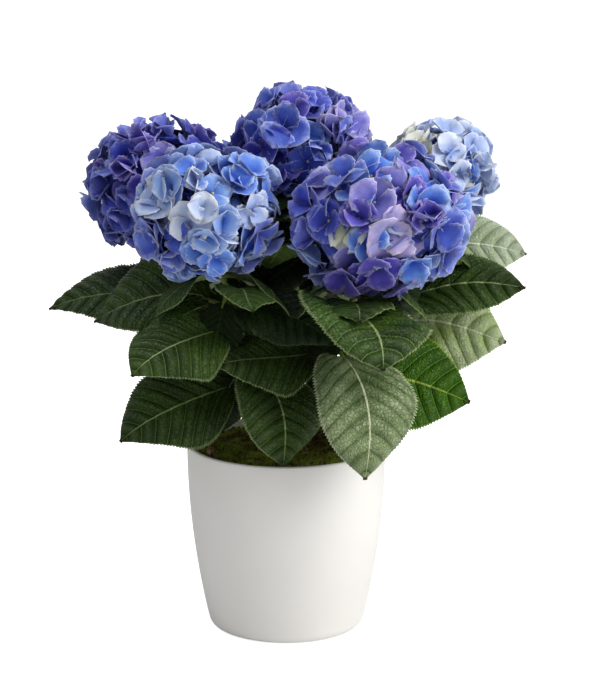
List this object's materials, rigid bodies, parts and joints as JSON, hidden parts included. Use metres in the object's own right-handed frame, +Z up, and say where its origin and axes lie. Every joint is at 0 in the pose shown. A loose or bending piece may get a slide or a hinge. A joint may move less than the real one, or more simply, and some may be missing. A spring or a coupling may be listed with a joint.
{
  "type": "potted hydrangea shrub",
  "caption": "Mophead hydrangea shrub with round blue, violet and lilac flower heads over broad quilted leaves, in a plain white pot.",
  "frame": {"origin": "centre of the pot's flat underside", "axes": "+Z up, -Y to the front of the plant, +X to its right as seen from the front"},
  "size_m": [0.3852, 0.3444, 0.4381],
  "materials": {
    "pot": "smooth matte white plastic",
    "soil": "dark brown potting soil with some moss",
    "bark": "fissured grey brown bark, greener on young canes",
    "foliage": "dark green, quilted and semi-gloss, paler underneath",
    "bloom_blue": "light blue sepals with creamy white patches",
    "bloom_lilac": "blue and lilac sepals with pinkish edges",
    "bloom_violet": "deep violet blue sepals with paler edges",
    "bloom_pale": "pale blue and white sepals with yellow green eyes"
  },
  "bodies": {
    "root": {"pot": "pot", "soil": "soil", "trunk": "bark", "cane_front_left": "bark", "leaves_front_left": "foliage", "bloom_front_left": "bloom_blue", "cane_front_right": "bark", "leaves_front_right": "foliage", "bloom_front_right": "bloom_lilac", "cane_left": "bark", "leaves_left": "foliage", "bloom_left": "bloom_violet", "cane_back": "bark", "leaves_back": "foliage", "bloom_back": "bloom_violet", "cane_right": "bark", "leaves_right": "foliage", "bloom_right": "bloom_pale"}
  },
  "joints": []
}
